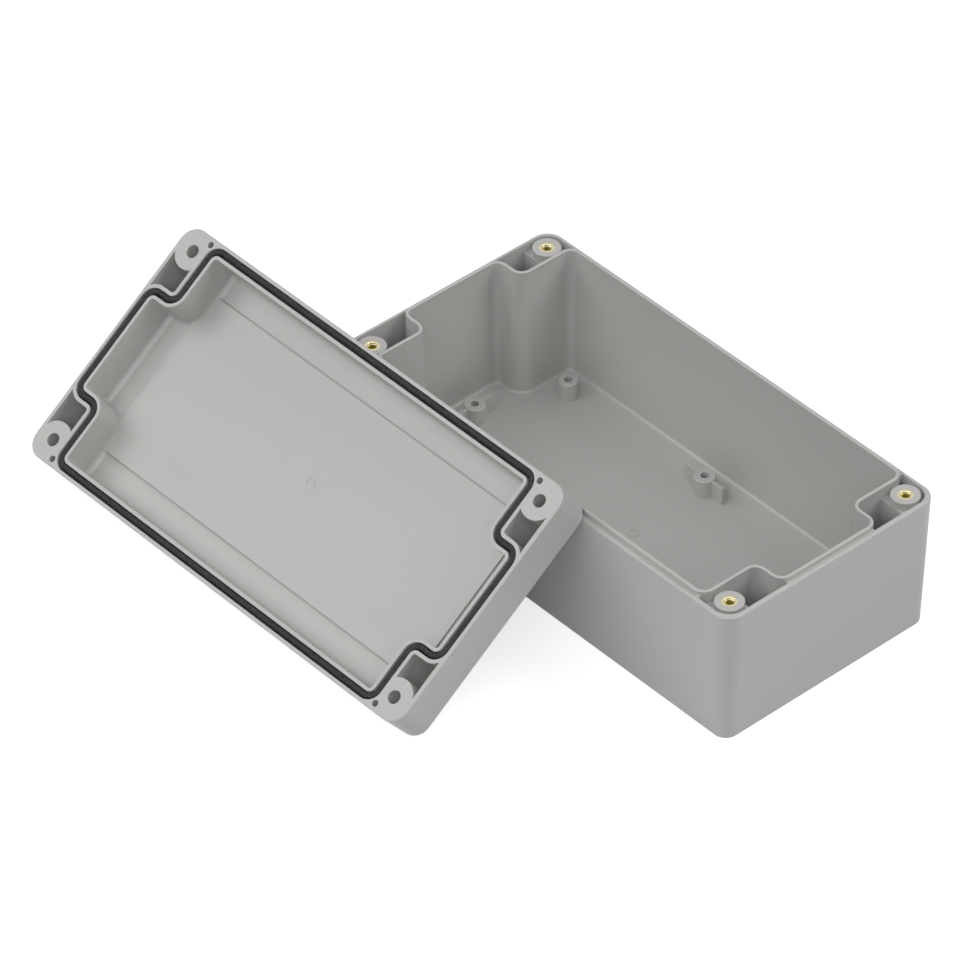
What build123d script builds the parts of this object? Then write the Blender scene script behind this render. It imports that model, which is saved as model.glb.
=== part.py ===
"""Two-part sealed plastic enclosure, lying open: the base stands on its underside
and the lid, turned over, leans against its long side. Millimetres, +Z up, origin
at the centre of the underside, X along the length."""
import os
from math import asin, atan2, cos, degrees, hypot, radians, sin, sqrt, tan

from build123d import *

# Outside of the closed box
length = 160.0
width = 80.0
corner_radius = 5.5
base_height = 45.0
lid_height = 15.0
base_draft = 1.8
lid_draft = 2.0
rim_round = 0.8
lid_face_round = 2.0
lid_rim_edge = 0.25

# Tongue on the base rim
tongue_width = 1.0
tongue_height = 1.5
tongue_edge = 0.25

# Groove for it in the lid, between two narrow lands
groove_clearance = 0.7
inner_land = 1.0
outer_land = 1.1

# Gasket cord in the groove
gasket_squeezed = 1.5
gasket_recess = 0.4
gasket_outer_gap = 0.15
gasket_inner_gap = 0.35
gasket_edge = 0.5

# Hollow of the base
base_floor = 3.0
cavity_draft = 1.5
base_floor_round = 1.0

# Lid screws, and the posts that they enter
screw_inset_x = 6.5
screw_inset_y = 6.7
post_diameter = 8.45
post_draft = 0.3
post_gap = 0.975
post_ring_depth = 2.6
post_block_reach = 4.3
lid_hole = 4.0
counterbore = 7.6
counterbore_wall = 2.0
screw_seat = 7.0
pin_hole = 1.95
pin_depth = 4.0
pin_offset_x = 3.85
pin_offset_y = 4.5

# Hollow of the lid, with a flat raised middle that backs the outer recess
lid_floor = 3.0
lid_cavity_draft = 1.0
lid_floor_round = 1.6
panel_step = 0.8
panel_corner = 1.5
panel_end_margin = 0.8
panel_screw_margin = 2.5

# Corner pockets outside the seal
pocket_span = 21.9
pocket_skin = 1.3
pocket_corner = 5.2
pocket_floor = 4.0
pocket_draft = 0.4
lid_pocket_floor = 2.6
seal_bend = 3.3
wall_hole = 4.4

# Brass inserts
insert_diameter = 4.6
insert_length = 6.0
insert_bore = 2.5
insert_lead = 0.2
insert_waist = 1.2
insert_waist_depth = 0.3
insert_clearance = 0.02
insert_recess = 0.05
pilot_diameter = 3.0
pilot_depth = 5.0

# Circuit board standoffs on the floor
standoff_inset = 10.3
standoff_height = 6.0
standoff_pilot = 2.5
standoff_pilot_floor = 2.5
standoff_draft = 1.0
standoff_edge = 0.25
corner_standoff = 5.8
middle_standoff = 6.5
rib_reach = 7.7
rib_thickness = 1.1
rib_drop = 0.3

# Ring left by the moulding gate
gate_diameter = 3.6
gate_width = 0.5
gate_height = 0.15

# How the lid leans
lid_shift = -56.8
lean_overlap = 1.0
lean_gap = 0.05

# Sizes and places that follow from the ones above
groove_width = tongue_width + 2 * groove_clearance
groove_depth = tongue_height + gasket_squeezed
gasket_height = groove_depth - gasket_recess
seal_inset = outer_land + groove_width / 2
seal_x = length / 2 - seal_inset
seal_y = width / 2 - seal_inset
screw_x = length / 2 - screw_inset_x
screw_y = width / 2 - screw_inset_y
notch_x = screw_x - post_diameter / 2 - post_gap - tongue_width / 2
notch_y = width / 2 - pocket_span
wall_hole_y = (notch_y + tongue_width / 2 + screw_y - post_block_reach) / 2
standoff_top = base_floor + standoff_height
lid_depth = lid_height - lid_floor
boss_radius = counterbore / 2 + counterbore_wall
panel_length = 2 * (notch_x - panel_end_margin)
panel_width = 2 * (screw_y - panel_screw_margin) - counterbore
corners = [(sx, sy) for sx in (-1, 1) for sy in (-1, 1)]
touching = 1e-6 * length


def at_height(z):
    return Plane.XY.offset(z)


def drilled(x, y, top, radius, depth):
    """Round hole or post that reaches down from top."""
    return Pos(x, y, top) * Cylinder(radius, depth, align=(Align.CENTER, Align.CENTER, Align.MAX))


def seal_region(grow):
    """Area inside the seal line, moved outwards by grow, with tangent bends."""
    x, y, step_x, step_y = (v + grow for v in (seal_x, seal_y, notch_x, notch_y))
    cross = Rectangle(2 * x, 2 * step_y) + Rectangle(2 * step_x, 2 * y)
    outer = [v for v in cross.vertices() if abs(v.X) > x - touching or abs(v.Y) > y - touching]
    cross = fillet(outer, seal_bend + grow)
    inner = [v for v in cross.vertices()
             if abs(abs(v.X) - step_x) < touching and abs(abs(v.Y) - step_y) < touching]
    return fillet(inner, max(seal_bend - grow, tongue_edge))


def seal_band(outside, inside):
    """Closed strip that follows the seal line."""
    return seal_region(outside) - seal_region(-inside)


def outline():
    return RectangleRounded(length, width, corner_radius)


def edges_at(solid, z):
    """Edges that lie flat at one height."""
    def flat(edge):
        box = edge.bounding_box()
        return abs(box.min.Z - z) < 100 * touching and abs(box.max.Z - z) < 100 * touching
    return solid.edges().filter_by(flat)


def hollow(region, top, depth, draft, floor_round):
    """Drafted cavity that narrows downwards, with a round at its floor."""
    cavity = extrude(at_height(top) * region, amount=-depth, taper=draft)
    return fillet(edges_at(cavity, top - depth), floor_round)


def corner_pocket(sx, sy, top, depth, draft, wall_offset, side_reach):
    """Space between the outer skin and the seal wall at one corner."""
    inside = RectangleRounded(length - 2 * pocket_skin, width - 2 * pocket_skin, pocket_corner)
    skin = extrude(at_height(top) * inside, amount=-depth, taper=draft)
    seal_wall = extrude(at_height(top) * seal_region(wall_offset), amount=-depth, taper=-pocket_draft)
    start_x = notch_x - tongue_width
    start_y = notch_y - seal_bend / 2
    window = Pos(sx * (start_x + length / 4), sy * (start_y + side_reach / 2), top - depth / 2)
    return (skin - seal_wall) & (window * Box(length / 2, side_reach, depth))


def standoffs():
    """Place, top diameter and rib direction of each standoff."""
    side_y = seal_y - standoff_inset
    found = [(sx * (notch_x - standoff_inset), sy * side_y, corner_standoff, None) for sx, sy in corners]
    found += [(0, sy * side_y, middle_standoff, "x") for sy in (-1, 1)]
    found += [(sx * (seal_x - standoff_inset), 0, middle_standoff, "y") for sx in (-1, 1)]
    return found


def standoff(x, y, diameter, rib_axis):
    """Round post for a board screw, and two thin ribs where it has them."""
    foot = diameter / 2 + standoff_height * tan(radians(standoff_draft))
    post = Pos(x, y, standoff_top - standoff_height / 2) * Cone(foot, diameter / 2, standoff_height)
    post = chamfer(edges_at(post, standoff_top), standoff_edge)
    if rib_axis:
        height = standoff_height - rib_drop
        sizes = (2 * rib_reach, rib_thickness) if rib_axis == "x" else (rib_thickness, 2 * rib_reach)
        post += Pos(x, y, base_floor + height / 2) * Box(*sizes, height)
    return post


def gate_ring(z):
    """Faint raised ring at the middle of a moulded floor."""
    ring = Circle(gate_diameter / 2) - Circle(gate_diameter / 2 - gate_width)
    return extrude(at_height(z) * ring, amount=gate_height)


def screw_post(x, y):
    """Round top of a post, free of the walls in the ring-shaped gap round it."""
    height = 2 * post_ring_depth
    foot = post_diameter / 2 + height * tan(radians(post_draft))
    return Pos(x, y, base_height - height / 2) * Cone(foot, post_diameter / 2, height)


def corner_block(sx, sy):
    """Solid corner below the ring-shaped gap, which carries the post."""
    height = base_height - post_ring_depth
    size_x, size_y = length / 2 - notch_x, screw_inset_y + post_block_reach
    place = Pos(sx * (length - size_x) / 2, sy * (width - size_y) / 2, height / 2)
    return place * Box(size_x, size_y, height)


def enclosure_base():
    shell = extrude(at_height(base_height) * outline(), amount=-base_height, taper=base_draft)
    shell = fillet(edges_at(shell, base_height), rim_round)
    shell -= hollow(seal_region(-tongue_width / 2), base_height, base_height - base_floor,
                    cavity_draft, base_floor_round)
    tongue = extrude(at_height(base_height) * seal_band(tongue_width / 2, tongue_width / 2),
                     amount=tongue_height)
    shell += chamfer(edges_at(tongue, base_height + tongue_height), tongue_edge)
    for sx, sy in corners:
        pocket = corner_pocket(sx, sy, base_height, base_height - pocket_floor,
                               base_draft + pocket_draft, tongue_width / 2, width / 2)
        shell -= pocket - corner_block(sx, sy)
        shell += screw_post(sx * screw_x, sy * screw_y)
    for x, y, diameter, rib_axis in standoffs():
        shell += standoff(x, y, diameter, rib_axis)
    shell += gate_ring(base_floor)
    for x, y, _, _ in standoffs():
        shell -= drilled(x, y, standoff_top, standoff_pilot / 2, standoff_top - standoff_pilot_floor)
    seat = insert_length + insert_recess
    for sx, sy in corners:
        x = sx * screw_x
        shell -= drilled(x, sy * screw_y, base_height, insert_diameter / 2, seat)
        shell -= drilled(x, sy * screw_y, base_height, pilot_diameter / 2, seat + pilot_depth)
        shell -= drilled(x, sy * wall_hole_y, pocket_floor, wall_hole / 2, pocket_floor)
    return shell


def insert(sx, sy):
    """Threaded brass bush in a post, with a waist that the plastic grips."""
    outer = insert_diameter / 2 - insert_clearance
    bore = insert_bore / 2
    section = Rectangle(outer - bore, insert_length, align=(Align.MIN, Align.CENTER))
    section -= Pos(outer - bore, 0) * Rectangle(2 * insert_waist_depth, insert_waist)
    bush = revolve(Plane.XZ * Pos(bore, 0) * section, Axis.Z)
    mouth = edges_at(bush, insert_length / 2).filter_by(GeomType.CIRCLE).sort_by(SortBy.RADIUS)[0]
    bush = chamfer(mouth, insert_lead)
    return Pos(sx * screw_x, sy * screw_y, base_height - insert_recess - insert_length / 2) * bush


def lid_in_own_frame():
    """Lid lying on its outer face, with its rim face at height 0."""
    shell = extrude(outline(), amount=-lid_height, taper=lid_draft)
    shell = fillet(edges_at(shell, -lid_height), lid_face_round)
    shell = chamfer(edges_at(shell, 0), lid_rim_edge)
    recess = RectangleRounded(panel_length, panel_width, panel_corner)
    shell -= extrude(at_height(-lid_height) * recess, amount=panel_step)
    shell -= hollow(seal_region(-groove_width / 2 - inner_land), 0, lid_depth,
                    lid_cavity_draft, lid_floor_round)
    shell += extrude(at_height(-lid_depth) * Rectangle(panel_length, panel_width), amount=panel_step)
    shell += gate_ring(panel_step - lid_depth)
    shell -= extrude(seal_band(groove_width / 2, groove_width / 2), amount=-groove_depth)
    pocket_depth = lid_height - lid_pocket_floor
    for sx, sy in corners:
        x, y = sx * screw_x, sy * screw_y
        pocket = corner_pocket(sx, sy, 0, pocket_depth, lid_draft + pocket_draft,
                               groove_width / 2 + outer_land, screw_y - notch_y)
        shell -= pocket - drilled(x, y, 0, boss_radius, pocket_depth)
        shell -= drilled(x, y, 0, lid_hole / 2, lid_height)
        shell -= drilled(x, y, -screw_seat, counterbore / 2, lid_height - screw_seat)
        shell -= drilled(x - sx * pin_offset_x, y + sy * pin_offset_y, 0, pin_hole / 2, pin_depth)
    return shell


def gasket_in_own_frame():
    """Endless rubber cord on the groove's floor, nearer to the outer side."""
    band = seal_band(groove_width / 2 - gasket_outer_gap, groove_width / 2 - gasket_inner_gap)
    cord = extrude(at_height(-groove_depth) * band, amount=gasket_height)
    return chamfer(edges_at(cord, -gasket_recess), gasket_edge)


def lean():
    """Place of the lid: its lower edge on the ground, its flat face on the base's rim."""
    edge_depth = lid_height - lid_face_round
    edge_out = width / 2 - edge_depth * tan(radians(lid_draft)) - lid_face_round / cos(radians(lid_draft))
    along = 2 * edge_out - lean_overlap
    across = lid_face_round + rim_round + lean_gap
    rise = base_height - rim_round - lid_face_round
    tilt = asin(rise / hypot(along, across)) + atan2(across, along)
    z = lid_face_round + edge_out * sin(tilt) + edge_depth * cos(tilt)
    y = (rim_round - width / 2 - along * cos(tilt) - across * sin(tilt)
         + edge_out * cos(tilt) - edge_depth * sin(tilt))
    ahead = tongue_edge - seal_y - tongue_width / 2 - y - edge_out * cos(tilt) - edge_depth * sin(tilt)
    above = base_height + tongue_height - tongue_edge - z - edge_out * sin(tilt) + edge_depth * cos(tilt)
    tongue_clear = lid_face_round + tongue_edge + lean_gap
    push = sqrt(max(tongue_clear ** 2 - above ** 2, 0)) - ahead
    return Pos(lid_shift, y - max(push, 0), z) * Rot(degrees(tilt), 0, 0)


def main():
    os.makedirs("parts", exist_ok=True)
    place = lean()
    pieces = {
        "enclosure_base": enclosure_base(),
        "lid": place * lid_in_own_frame(),
        "lid_gasket": place * gasket_in_own_frame(),
    }
    for number, (sx, sy) in enumerate(corners, 1):
        pieces[f"brass_insert_{number}"] = insert(sx, sy)
    for node, shape in pieces.items():
        export_step(shape, f"parts/{node}.step")


main()
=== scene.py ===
# Open plastic enclosure with its lid leaning on it: finishes, seal, threaded inserts, light and camera
import math

import bmesh
import bpy
from mathutils import Matrix, Vector


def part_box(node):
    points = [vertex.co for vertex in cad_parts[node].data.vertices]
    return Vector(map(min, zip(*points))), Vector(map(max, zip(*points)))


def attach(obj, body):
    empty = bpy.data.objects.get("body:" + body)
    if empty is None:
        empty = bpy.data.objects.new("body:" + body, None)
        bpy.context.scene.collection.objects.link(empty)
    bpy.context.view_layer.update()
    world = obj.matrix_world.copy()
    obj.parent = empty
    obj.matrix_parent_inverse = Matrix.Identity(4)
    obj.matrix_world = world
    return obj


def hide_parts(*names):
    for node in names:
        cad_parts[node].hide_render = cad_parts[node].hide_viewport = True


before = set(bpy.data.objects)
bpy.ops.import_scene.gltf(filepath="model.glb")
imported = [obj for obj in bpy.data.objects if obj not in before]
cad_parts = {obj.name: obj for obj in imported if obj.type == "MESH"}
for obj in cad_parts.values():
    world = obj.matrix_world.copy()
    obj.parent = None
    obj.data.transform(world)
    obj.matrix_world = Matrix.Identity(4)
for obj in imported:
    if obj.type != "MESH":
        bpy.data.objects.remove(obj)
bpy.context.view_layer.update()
mm = 0.001
print("frame loaded:", len(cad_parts), "nodes")


# Shader maths: one socket of a node, with sums written as Python expressions
class Socket:
    def __init__(self, tree, socket=None):
        self.tree = tree
        self.socket = socket

    def node(self, kind, settings=None, sockets=None, output=0):
        made = self.tree.nodes.new(kind)
        for name, value in (settings or {}).items():
            setattr(made, name, value)
        for name, value in (sockets or {}).items():
            if isinstance(value, Socket):
                self.tree.links.new(value.socket, made.inputs[name])
            else:
                made.inputs[name].default_value = value
        return Socket(self.tree, made.outputs[output]) if len(made.outputs) else None

    def maths(self, operation, first, second):
        return self.node("ShaderNodeMath", {"operation": operation}, {0: first, 1: second})

    def size(self):
        # The number without its sign
        return self.node("ShaderNodeMath", {"operation": "ABSOLUTE"}, {0: self})

    def __add__(self, other):
        return self.maths("ADD", self, other)

    def __radd__(self, other):
        return self.maths("ADD", other, self)

    def __sub__(self, other):
        return self.maths("SUBTRACT", self, other)

    def __rsub__(self, other):
        return self.maths("SUBTRACT", other, self)

    def __mul__(self, other):
        return self.maths("MULTIPLY", self, other)

    def __rmul__(self, other):
        return self.maths("MULTIPLY", other, self)


def newMaterial(name):
    material = bpy.data.materials.new(name)
    material.use_nodes = True
    material.node_tree.nodes.clear()
    return material, Socket(material.node_tree)


def noise(shader, place, spotSize, detail, roughness):
    return shader.node("ShaderNodeTexNoise", None,
                       {"Vector": place, "Scale": 1 / spotSize, "Detail": detail, "Roughness": roughness})


def mixColours(shader, share, first, second):
    # A Mix node's sockets 0, 6 and 7 are its share and two colours, and output 2 is the colour
    return shader.node("ShaderNodeMix", {"data_type": "RGBA"}, {0: share, 6: first, 7: second}, output=2)


def smoothRamp(shader, value, start, end, first=0.0, last=1.0):
    return shader.node("ShaderNodeMapRange", {"interpolation_type": "SMOOTHSTEP"},
                       {"Value": value, "From Min": start, "From Max": end,
                        "To Min": first, "To Max": last})


def fromTo(shader, start, end):
    return shader.node("ShaderNodeVectorMath", {"operation": "SUBTRACT"}, {0: end, 1: start})


def partOf(shader, place, axis):
    return shader.node("ShaderNodeSeparateXYZ", None, {0: place}, output=axis)


def bumpFrom(shader, height, strength, distance):
    return shader.node("ShaderNodeBump", None,
                       {"Height": height, "Strength": strength, "Distance": distance})


def finishSurface(shader, sockets):
    surface = shader.node("ShaderNodeBsdfPrincipled", None, sockets)
    shader.node("ShaderNodeOutputMaterial", None, {"Surface": surface})


# How the lid lies: turned about X, with the middle of its rim face here
lidPlace = {
    "middle": (-56.8 * mm, -77.9419 * mm, 34.9364 * mm),
    "tilt": 36.8945,             # degrees
}
lidMatrix = (Matrix.Translation(Vector(lidPlace["middle"]))
             @ Matrix.Rotation(math.radians(lidPlace["tilt"]), 4, "X"))

# Grey moulded plastic: even tone, faint flow clouds, a fine satin grain
plasticFinish = {
    "pale": (0.497, 0.489, 0.477, 1),
    "deep": (0.477, 0.469, 0.457, 1),
    "cloudSize": 24 * mm,
    "cloudDetail": 3.0,
    "cloudRoughness": 0.5,
    "grainSize": 0.35 * mm,
    "grainDetail": 2.0,
    "grainRoughness": 0.6,
    "grainHeight": 0.006 * mm,
    "roughness": 0.46,
    "roughnessSpread": 0.08,
    "ior": 1.58,
}

# Painted shade: a fine dark line at the foot of the lid's raised middle, along both long sides, where the
# step's inner corner is shaded
lidStepPaintedShade = {
    "colour": (0.13, 0.13, 0.126, 1),
    "strength": 0.45,
    "foot": 27.2 * mm,           # its distance from the lid's long middle line
    "halfWidth": 0.62 * mm,
    "reach": 67.0 * mm,
    "floor": -12.0 * mm,         # the lid's inner floor, from its rim face
    "height": 0.3 * mm,
}


def lidStepPaintedShadeMask(shader, place, values):
    # Strength of the painted shade on the step's foot and 0 off it, in the lid's own frame
    ownPlace = shader.node("ShaderNodeVectorRotate", {"rotation_type": "X_AXIS"},
                           {"Vector": fromTo(shader, lidPlace["middle"], place),
                            "Angle": -math.radians(lidPlace["tilt"])})
    along = partOf(shader, ownPlace, "X")
    across = partOf(shader, ownPlace, "Y")
    level = partOf(shader, ownPlace, "Z")
    offLine = (across.size() - values["foot"]).size()
    line = smoothRamp(shader, offLine, 0.0, values["halfWidth"], 1.0, 0.0)
    withinReach = shader.maths("LESS_THAN", along.size(), values["reach"])
    onFloor = shader.maths("LESS_THAN", (level - values["floor"]).size(), values["height"])
    return line * withinReach * onFloor * values["strength"]


def makePlastic(name, values, paintedStepShade=None):
    material, shader = newMaterial(name)
    place = shader.node("ShaderNodeTexCoord", output="Object")
    cloud = noise(shader, place, values["cloudSize"], values["cloudDetail"], values["cloudRoughness"])
    grain = noise(shader, place, values["grainSize"], values["grainDetail"], values["grainRoughness"])
    colour = mixColours(shader, cloud, values["deep"], values["pale"])
    # Painted shade darkens the lid's colour along the foot of its raised middle
    if paintedStepShade:
        colour = mixColours(shader, lidStepPaintedShadeMask(shader, place, paintedStepShade), colour, paintedStepShade["colour"])
    rough = values["roughness"] + (cloud + grain - 1.0) * values["roughnessSpread"]
    finishSurface(shader, {"Base Color": colour, "Roughness": rough, "IOR": values["ior"],
                           "Normal": bumpFrom(shader, grain, 1.0, values["grainHeight"])})
    return material


# Black sealing rubber: dull, slightly uneven, with paler specks
rubberFinish = {
    "deep": (0.015, 0.0155, 0.0155, 1),
    "pale": (0.1, 0.101, 0.101, 1),
    "blotchSize": 0.6 * mm,
    "blotchDetail": 3.0,
    "grainSize": 0.18 * mm,
    "grainDetail": 2.0,
    "noiseRoughness": 0.6,
    "grainHeight": 0.02 * mm,
    "blotchShare": 0.6,          # the grain has the rest
    "contrast": 2.5,
    "evenTone": 0.45,            # where the tone lies between deep and pale
    "roughness": 0.75,
    "roughnessSpread": 0.18,
    "ior": 1.18,
}


def makeRubber(values):
    material, shader = newMaterial("blackRubber")
    place = shader.node("ShaderNodeTexCoord", output="Object")
    blotch = noise(shader, place, values["blotchSize"], values["blotchDetail"], values["noiseRoughness"])
    grain = noise(shader, place, values["grainSize"], values["grainDetail"], values["noiseRoughness"])
    specks = blotch * values["blotchShare"] + grain * (1 - values["blotchShare"])
    tone = (specks - 0.5) * values["contrast"] + values["evenTone"]
    rough = values["roughness"] + (blotch - 0.5) * values["roughnessSpread"]
    finishSurface(shader, {"Base Color": mixColours(shader, tone, values["deep"], values["pale"]),
                           "Roughness": rough, "IOR": values["ior"],
                           "Normal": bumpFrom(shader, grain, 1.0, values["grainHeight"])})
    return material


# Turned brass: fine rings round the axis, a slight stain, and painted shade that darkens the bore as it
# goes down
brassFinish = {
    "warm": (0.62, 0.535, 0.315, 1),
    "pale": (0.73, 0.675, 0.47, 1),
    # Painted shade: the colour deep in the bore, darker than the brass round it
    "bore": (0.12, 0.096, 0.014, 1),
    "boreRadius": 1.43 * mm,
    "paintedShadeStart": 0.25 * mm,     # how far down the bore stays bright, before the painted shade starts
    # where the painted shade in the bore is full
    "paintedShadeFull": 0.9 * mm,
    "ringPitch": 0.11 * mm,
    "ringHeight": 0.004 * mm,
    "ringStrength": 0.6,
    "stainSize": 1.6 * mm,
    "stainDetail": 3.0,
    "stainRoughness": 0.5,
    "roughness": 0.3,
    "roughnessSpread": 0.16,
}


def makeBrass(values, name, topMiddle):
    material, shader = newMaterial(name)
    place = shader.node("ShaderNodeTexCoord", output="Object")
    toTop = fromTo(shader, place, topMiddle)
    flat = shader.node("ShaderNodeVectorMath", {"operation": "MULTIPLY"}, {0: toTop, 1: (1, 1, 0)})
    radius = shader.node("ShaderNodeVectorMath", {"operation": "LENGTH"}, {0: flat}, output="Value")
    # Painted shade in the bore: 0 near its top, 1 from the full depth down
    deep = smoothRamp(shader, partOf(shader, toTop, "Z"), values["paintedShadeStart"], values["paintedShadeFull"])
    inside = shader.maths("LESS_THAN", radius, values["boreRadius"])
    ringTurn = radius * (2 * math.pi / values["ringPitch"])
    rings = shader.node("ShaderNodeMath", {"operation": "SINE"}, {0: ringTurn})
    stain = noise(shader, place, values["stainSize"], values["stainDetail"], values["stainRoughness"])
    turned = mixColours(shader, stain, values["warm"], values["pale"])
    rough = values["roughness"] + (stain - 0.5) * values["roughnessSpread"]
    # Inside the bore the painted shade replaces the turned brass colour with depth
    finishSurface(shader, {"Base Color": mixColours(shader, deep * inside, turned, values["bore"]),
                           "Roughness": rough, "Metallic": 1.0,
                           "Normal": bumpFrom(shader, rings, values["ringStrength"], values["ringHeight"])})
    return material


# Modelling by operators: what is selected is chosen in code
def startPiece():
    if bpy.context.object and bpy.context.object.mode != "OBJECT":
        bpy.ops.object.mode_set(mode="OBJECT")
    bpy.ops.object.select_all(action="DESELECT")


def selectOnly(*objects):
    bpy.ops.object.select_all(action="DESELECT")
    for piece in objects:
        piece.select_set(True)
    bpy.context.view_layer.objects.active = objects[0]


def meshMode(level):
    bpy.ops.mesh.select_mode(type=level)


def selectWhere(kind, wanted):
    # kind is "verts", "edges" or "faces"; wanted gets each one and says yes or no
    bpy.ops.mesh.select_all(action="DESELECT")
    found = bmesh.from_edit_mesh(bpy.context.object.data)
    for element in getattr(found, kind):
        if wanted(element):
            element.select_set(True)
    found.select_flush_mode()
    bmesh.update_edit_mesh(bpy.context.object.data)


def applyModifier(kind, settings):
    piece = bpy.context.object
    modifier = piece.modifiers.new(kind.lower(), kind)
    for name, value in settings.items():
        setattr(modifier, name, value)
    bpy.ops.object.modifier_apply(modifier=modifier.name)


# What holds for every modelled piece
meshRules = {
    "mergeWithin": 0.0005 * mm,
    "sharpFrom": 32,             # degrees; edges that turn more stay sharp
    "endNormal": 0.9,            # a face whose normal has more of Z than this is an end
    "sideNormal": 0.1,           # and with less than this it is upright
}


def settle(piece, place=None):
    # Puts the piece in its place and leaves that place in its mesh
    selectOnly(piece)
    if place:
        piece.matrix_world = place @ piece.matrix_world
    bpy.ops.object.transform_apply(location=True, rotation=True, scale=True)
    bpy.ops.object.mode_set(mode="EDIT")
    bpy.ops.mesh.select_all(action="SELECT")
    bpy.ops.mesh.remove_doubles(threshold=meshRules["mergeWithin"])
    bpy.ops.mesh.normals_make_consistent(inside=False)
    bpy.ops.object.mode_set(mode="OBJECT")
    bpy.ops.object.shade_smooth_by_angle(angle=math.radians(meshRules["sharpFrom"]))


def finishPiece(piece, material, nodeName):
    piece.data.materials.clear()
    piece.data.materials.append(material)
    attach(piece, "root")
    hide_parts(nodeName)


# Gasket: an endless seal pressed into the lid's groove, on a cross-shaped line with round bends
gasket = {
    "lineX": 77.8 * mm,          # middle line of the seal, from the lid's middle
    "lineY": 37.8 * mm,
    "notchX": 67.9 * mm,
    "notchY": 18.2 * mm,
    "outerBend": 3.4 * mm,
    "innerBend": 3.2 * mm,
    "bendSteps": 8,
    "floor": -3.0 * mm,          # groove's floor, from the rim face
    "baseWidth": 2.3 * mm,       # the base fills the groove
    "baseHeight": 0.7 * mm,
    "beadWidth": 1.6 * mm,       # the bead on it is narrower and sits a little up the slope
    "beadShift": 0.24 * mm,
    "height": 2.75 * mm,
    "crown": 0.5 * mm,           # roundness of the bead's upper edges
    "crownSteps": 5,
    "foot": 0.2 * mm,            # roundness of the base's lower edges
    "footSteps": 2,
    "cornerFrom": 60,            # degrees; edges that turn more are rounded
    "levelSlack": 0.01 * mm,     # a vertex this near a level is on it
    "notchSlack": 1.0 * mm,      # and this near a notch's corner is that corner
}


def makeGasket(values):
    startPiece()
    spanX, spanY = values["lineX"], values["lineY"]
    notchX, notchY = values["notchX"], values["notchY"]
    # A plane from -1 to 1 is drawn out to the seal's line, and its corners are cut away
    bpy.ops.mesh.primitive_plane_add(size=2, location=(0, 0, values["floor"]))
    bpy.ops.object.transform_apply(location=True, rotation=False, scale=False)
    piece = bpy.context.object
    piece.name = "lidSealCord"
    bpy.ops.object.mode_set(mode="EDIT")
    bpy.ops.transform.resize(value=(spanX, spanY, 1), center_override=(0, 0, values["floor"]))
    for side in (-1, 1):
        for point, direction in (((side * notchX, 0, 0), (1, 0, 0)), ((0, side * notchY, 0), (0, 1, 0))):
            bpy.ops.mesh.select_all(action="SELECT")
            bpy.ops.mesh.bisect(plane_co=point, plane_no=direction)
    meshMode("FACE")
    selectWhere("faces", lambda face: abs(face.calc_center_median().x) > notchX
                and abs(face.calc_center_median().y) > notchY)
    bpy.ops.mesh.delete(type="FACE")
    meshMode("EDGE")
    selectWhere("edges", lambda edge: len(edge.link_faces) == 2)
    bpy.ops.mesh.dissolve_edges(use_verts=False)
    # Its line bends round at each corner, and its outline alone is drawn up into a wall
    meshMode("VERT")
    slack = values["notchSlack"]
    isTurn = lambda vert: len(vert.link_edges) == 2
    atNotch = lambda vert: abs(abs(vert.co.x) - notchX) < slack and abs(abs(vert.co.y) - notchY) < slack
    selectWhere("verts", lambda vert: isTurn(vert) and not atNotch(vert))
    bpy.ops.mesh.bevel(offset=values["outerBend"], segments=values["bendSteps"], affect="VERTICES")
    selectWhere("verts", atNotch)
    bpy.ops.mesh.bevel(offset=values["innerBend"], segments=values["bendSteps"], affect="VERTICES")
    bpy.ops.mesh.select_all(action="SELECT")
    bpy.ops.mesh.delete(type="ONLY_FACE")
    bpy.ops.mesh.select_all(action="SELECT")
    bpy.ops.mesh.extrude_edges_move(TRANSFORM_OT_translate={"value": (0, 0, values["baseHeight"])})
    bpy.ops.object.mode_set(mode="OBJECT")
    applyModifier("SOLIDIFY", {"thickness": values["baseWidth"], "offset": 0, "use_even_offset": True})
    # The bead is drawn up from the base's top
    baseTop = values["floor"] + values["baseHeight"]
    onLevel = lambda part, level: all(abs(vert.co.z - level) < values["levelSlack"] for vert in part.verts)
    bpy.ops.object.mode_set(mode="EDIT")
    meshMode("FACE")
    selectWhere("faces", lambda face: onLevel(face, baseTop))
    bpy.ops.mesh.inset(thickness=(values["baseWidth"] - values["beadWidth"]) / 2, use_even_offset=True)
    bpy.ops.transform.translate(value=(0, values["beadShift"], 0))
    bpy.ops.mesh.extrude_region_move()
    bpy.ops.transform.translate(value=(0, 0, values["height"] - values["baseHeight"]))
    # Round the upper edges well and the lower ones a little
    meshMode("EDGE")
    top = values["floor"] + values["height"]
    isCorner = lambda edge: abs(edge.calc_face_angle(0)) > math.radians(values["cornerFrom"])
    for level, size, steps in ((top, values["crown"], values["crownSteps"]),
                               (values["floor"], values["foot"], values["footSteps"])):
        selectWhere("edges", lambda edge: onLevel(edge, level) and isCorner(edge))
        bpy.ops.mesh.bevel(offset=size, segments=steps, affect="EDGES")
    bpy.ops.object.mode_set(mode="OBJECT")
    settle(piece, lidMatrix)
    return piece


gasketPiece = makeGasket(gasket)
finishPiece(gasketPiece, makeRubber(rubberFinish), "lid_gasket")
print("gasket:", len(gasketPiece.data.polygons), "faces")


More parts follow.
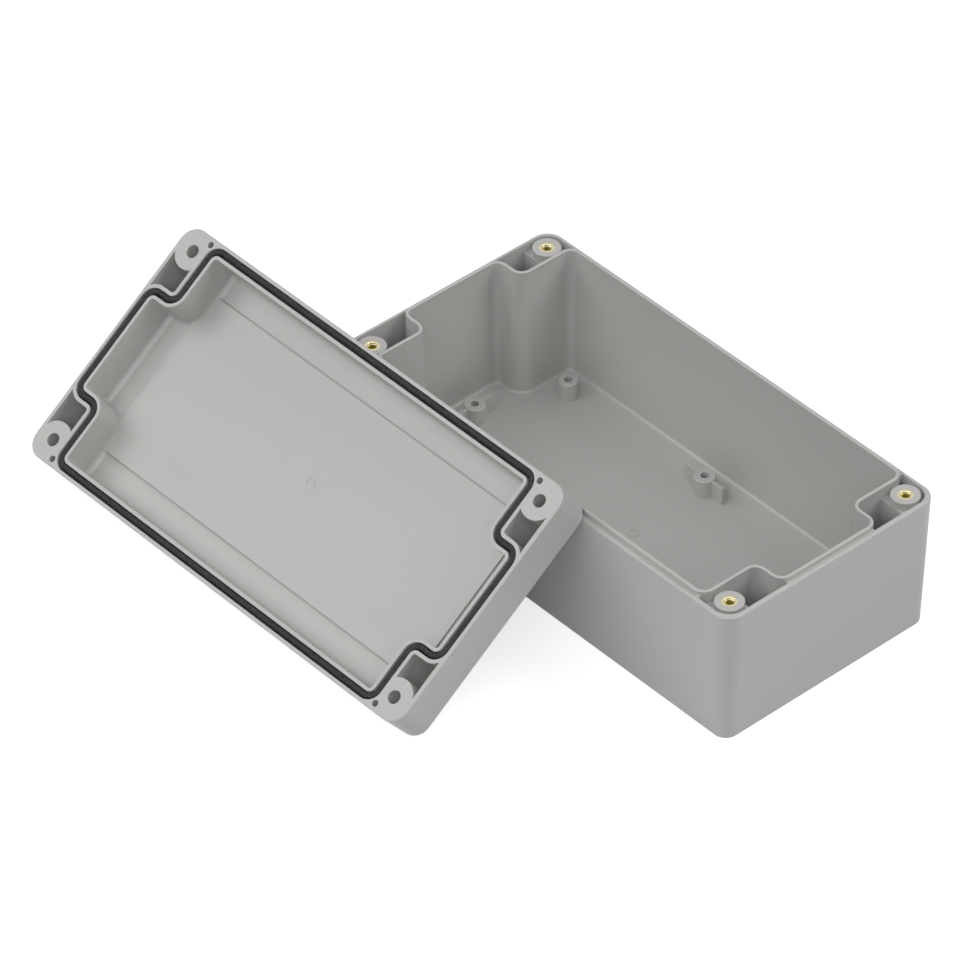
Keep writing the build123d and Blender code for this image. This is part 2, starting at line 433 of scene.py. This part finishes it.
# Threaded brass insert: knurled outside with a waist, chamfered mouth, thread down the bore
insert = {
    "outer": 2.28 * mm,
    "root": 1.4 * mm,            # bottom of the thread
    "crest": 1.2 * mm,
    "length": 6.0 * mm,
    "mouth": 0.12 * mm,          # chamfer of the bore
    "waist": 1.2 * mm,
    "waistDepth": 0.3 * mm,
    "knurls": 24,
    "knurlDepth": 0.14 * mm,
    "pitch": 0.5 * mm,
    "threadSteps": 28,           # in each turn
    "threadMerge": 0.0001 * mm,
    "bury": 0.04 * mm,           # how far the thread's foot goes into the wall
    "leadIn": 0.6,               # of the pitch, from the chamfer to the middle of the thread's end
    "ridge": 0.44,               # of the pitch, the radius of the ridge's triangle along the bore
    "fluteRim": 0.02 * mm,       # edge left round each flute
    "fluteArea": 0.1 * mm * mm,  # smaller faces aren't pressed in
    "beltSlack": 0.1 * mm,       # a face whose middle is this near mid height is on the belt
    "outsideShare": 0.95,        # of the outer radius, from where a face is on the outside
    "boreShare": 1.02,           # of the root's radius, within which a vertex is on the bore
    "endShare": 0.9,             # of half the length, beyond which a vertex is on an end
}


def makeInsertBody(values):
    startPiece()
    half = values["length"] / 2
    outer, root, mouth = values["outer"], values["root"], values["mouth"]
    isEnd = lambda face: abs(face.normal.z) > meshRules["endNormal"]
    isUpright = lambda face: abs(face.normal.z) < meshRules["sideNormal"]
    isOutside = lambda face: face.calc_center_median().xy.length > outer * values["outsideShare"]
    inBore = lambda vert: vert.co.xy.length < root * values["boreShare"]
    bpy.ops.mesh.primitive_cylinder_add(vertices=4 * values["knurls"], radius=outer,
                                        depth=values["length"], end_fill_type="NGON")
    piece = bpy.context.object
    piece.name = "threadedInsert"
    bpy.ops.object.mode_set(mode="EDIT")
    meshMode("FACE")
    selectWhere("faces", isEnd)
    bpy.ops.mesh.inset(thickness=outer - root - mouth, use_even_offset=True)
    bpy.ops.mesh.inset(thickness=mouth, use_even_offset=True)
    bpy.ops.mesh.bridge_edge_loops()
    # The bore's two rings go in by the chamfer
    meshMode("VERT")
    for side in (-1, 1):
        selectWhere("verts", lambda vert: vert.co.z * side > half * values["endShare"] and inBore(vert))
        bpy.ops.transform.translate(value=(0, 0, -side * mouth))
    # Two cuts mark the belt round the outside, which is then drawn in
    meshMode("EDGE")
    for side in (1, -1):
        selectWhere("faces", lambda face: isOutside(face) and isUpright(face))
        bpy.ops.mesh.bisect(plane_co=(0, 0, side * values["waist"] / 2), plane_no=(0, 0, 1))
    meshMode("FACE")
    onBelt = lambda face: abs(face.calc_center_median().z) < values["beltSlack"]
    selectWhere("faces", lambda face: onBelt(face) and isOutside(face))
    drawIn = 1 - values["waistDepth"] / outer
    bpy.ops.mesh.extrude_region_move()
    bpy.ops.transform.resize(value=(drawIn, drawIn, 1), center_override=(0, 0, 0))
    # Flutes between the knurls are pressed in, two flats wide
    turnStep = 2 * math.pi / values["knurls"]

    def isFlute(face):
        middle = face.calc_center_median()
        turn = math.atan2(middle.y, middle.x) % turnStep
        isWide = face.calc_area() > values["fluteArea"]
        return isOutside(face) and isUpright(face) and isWide and turn < turnStep / 2

    selectWhere("faces", isFlute)
    press = 1 - values["knurlDepth"] / outer
    bpy.ops.mesh.inset(thickness=values["fluteRim"])
    bpy.ops.transform.resize(value=(press, press, 1), center_override=(0, 0, 0))
    bpy.ops.object.mode_set(mode="OBJECT")
    return piece


def makeThread(values):
    # A three-sided ridge wound down the bore by a screw, both ends closed
    startPiece()
    depth = values["root"] + values["bury"] - values["crest"]
    radius = depth * 2 / 3       # of the triangle as tall as that depth
    start = values["length"] / 2 - values["mouth"] - values["pitch"] * values["leadIn"]
    turns = 2 * start / values["pitch"]
    bpy.ops.mesh.primitive_circle_add(vertices=3, radius=radius, fill_type="NOTHING",
                                      rotation=(math.pi / 2, 0, 0))
    piece = bpy.context.object
    bpy.ops.object.transform_apply(location=True, rotation=True, scale=True)
    bpy.ops.object.mode_set(mode="EDIT")
    bpy.ops.mesh.select_all(action="SELECT")
    bpy.ops.transform.rotate(value=math.pi / 2, orient_axis="Y", center_override=(0, 0, 0))
    stretch = values["pitch"] * values["ridge"] / radius
    bpy.ops.transform.resize(value=(1, 1, stretch), center_override=(0, 0, 0))
    bpy.ops.object.mode_set(mode="OBJECT")
    lowest = min(vert.co.x for vert in piece.data.vertices)
    bpy.ops.object.mode_set(mode="EDIT")
    bpy.ops.transform.translate(value=(values["crest"] - lowest, 0, start))
    bpy.ops.object.mode_set(mode="OBJECT")
    steps = int(values["threadSteps"] * turns)
    applyModifier("SCREW", {"angle": 2 * math.pi * turns, "screw_offset": -2 * start, "steps": steps,
                            "render_steps": steps, "axis": "Z", "use_merge_vertices": True,
                            "merge_threshold": values["threadMerge"], "use_smooth_shade": False})
    bpy.ops.object.mode_set(mode="EDIT")
    meshMode("EDGE")
    bpy.ops.mesh.select_all(action="DESELECT")
    bpy.ops.mesh.select_non_manifold()
    bpy.ops.mesh.edge_face_add()
    bpy.ops.object.mode_set(mode="OBJECT")
    return piece


def makeInsert(values):
    body = makeInsertBody(values)
    thread = makeThread(values)
    settle(body)
    settle(thread)
    selectOnly(body, thread)
    bpy.ops.object.join()
    return body


master = makeInsert(insert)
plainMesh = master.data
for number in range(1, 5):
    nodeName = f"brass_insert_{number}"
    low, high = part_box(nodeName)
    middle = (low + high) / 2
    piece = master
    if number > 1:
        # A copy carries the node that the first one replaces, and adds its own
        piece = master.copy()
        bpy.context.scene.collection.objects.link(piece)
    piece.name = f"threadedInsert{number}"
    piece.data = plainMesh.copy()
    piece.data.transform(Matrix.Translation(middle))
    finishPiece(piece, makeBrass(brassFinish, f"turnedBrassPaintedBoreShade{number}", (middle.x, middle.y, high.z)),
                nodeName)
print("inserts:", len(plainMesh.polygons), "faces each")

# Finishes on the moulded nodes
nodeFinishes = {
    "enclosure_base": makePlastic("greyMouldedPlastic", plasticFinish),
    "lid": makePlastic("greyLidPlasticWithPaintedShade", plasticFinish, lidStepPaintedShade),
}
for nodeName, plastic in nodeFinishes.items():
    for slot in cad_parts[nodeName].material_slots:
        slot.material = plastic
print("finishes done")


def seenRays(shader):
    # 1 for what the camera sees straight, mirrored or through something clear, else 0
    cameraRay = shader.node("ShaderNodeLightPath", output="Is Camera Ray")
    glossyRay = shader.node("ShaderNodeLightPath", output="Is Glossy Ray")
    throughRay = shader.node("ShaderNodeLightPath", output="Is Transmission Ray")
    return cameraRay + glossyRay + throughRay


# Floor: pale, white to the camera where nothing shades it, and keeping the object's shadow
white = (1, 1, 1, 1)
floorValues = {
    "size": 6.0,
    "level": -0.05 * mm,         # just clear of the object's underside
    "colour": (0.60, 0.60, 0.60, 1),
    "lift": 0.72,                # glow that the camera and mirrors see on top of the light
}


def makeFloor(values):
    startPiece()
    bpy.ops.mesh.primitive_plane_add(size=values["size"], location=(0, 0, values["level"]))
    floor = bpy.context.object
    floor.name = "studioFloor"
    material, shader = newMaterial("paleFloor")
    diffuse = shader.node("ShaderNodeBsdfDiffuse", None, {"Color": values["colour"]})
    lift = seenRays(shader) * values["lift"]
    glow = shader.node("ShaderNodeEmission", None, {"Color": white, "Strength": lift})
    both = shader.node("ShaderNodeAddShader", None, {0: diffuse, 1: glow})
    shader.node("ShaderNodeOutputMaterial", None, {"Surface": both})
    floor.data.materials.append(material)


makeFloor(floorValues)

# World: soft light, strongest from overhead, and pure white where the camera or a mirror sees it
worldValues = {
    "overhead": 0.285,           # from straight above, and less toward the horizon
    "seen": 1.0,
}


def makeWorld(values):
    world = bpy.data.worlds.new("softStudio")
    world.use_nodes = True
    world.node_tree.nodes.clear()
    shader = Socket(world.node_tree)
    direction = shader.node("ShaderNodeTexCoord", output="Generated")
    above = shader.maths("MAXIMUM", partOf(shader, direction, "Z"), 0.0)
    seen = seenRays(shader)
    strength = seen * values["seen"] + (1 - seen) * above * values["overhead"]
    light = shader.node("ShaderNodeBackground", None, {"Color": white, "Strength": strength})
    shader.node("ShaderNodeOutputWorld", None, {"Surface": light})
    bpy.context.scene.world = world


makeWorld(worldValues)

# Lamps: broad soft ones on a ring above the box
lampRing = {
    "radius": 1.3,               # metres from the middle of the floor
    "height": 1.2,
    "size": 1.2,
    "aim": (-0.02, -0.03, 0),
}
lamps = {                        # compass turn from +X in degrees, power in watts
    "front": (-90, 6.2),
    "frontRight": (-45, 7.4),
    "frontLeft": (-135, 7.7),
    "backRight": (45, 13.2),
}


def makeLamp(name, turn, power, values):
    lampData = bpy.data.lights.new(name, "AREA")
    lampData.shape = "DISK"
    lampData.size = values["size"]
    lampData.energy = power
    lamp = bpy.data.objects.new(name, lampData)
    angle, radius = math.radians(turn), values["radius"]
    place = Vector((math.cos(angle) * radius, math.sin(angle) * radius, values["height"]))
    lamp.location = place
    lamp.rotation_euler = (Vector(values["aim"]) - place).to_track_quat("-Z", "Y").to_euler()
    bpy.context.scene.collection.objects.link(lamp)


for name, (turn, power) in lamps.items():
    makeLamp(name, turn, power, lampRing)

# Camera, at the photograph's viewing angle
cameraValues = {
    "place": (1.11993, -1.05530, 1.32739),
    "forward": (-0.569195, 0.507281, -0.647057),
    "up": (-0.481106, 0.432695, 0.762438),
    "lens": 267.99,              # millimetres, like the sensor's width
    "sensor": 36.0,
    "near": 0.05,
    "far": 20.0,
}


def makeCamera(values):
    forward = Vector(values["forward"]).normalized()
    right = forward.cross(Vector(values["up"])).normalized()
    up = right.cross(forward)
    cameraData = bpy.data.cameras.new("photoCamera")
    cameraData.sensor_width = values["sensor"]
    cameraData.lens = values["lens"]
    cameraData.clip_start = values["near"]
    cameraData.clip_end = values["far"]
    camera = bpy.data.objects.new("photoCamera", cameraData)
    turn = Matrix((right, up, -forward)).transposed().to_4x4()
    camera.matrix_world = Matrix.Translation(Vector(values["place"])) @ turn
    bpy.context.scene.collection.objects.link(camera)
    bpy.context.scene.camera = camera


makeCamera(cameraValues)
bpy.context.scene.view_settings.view_transform = "Standard"
print("light and camera done")
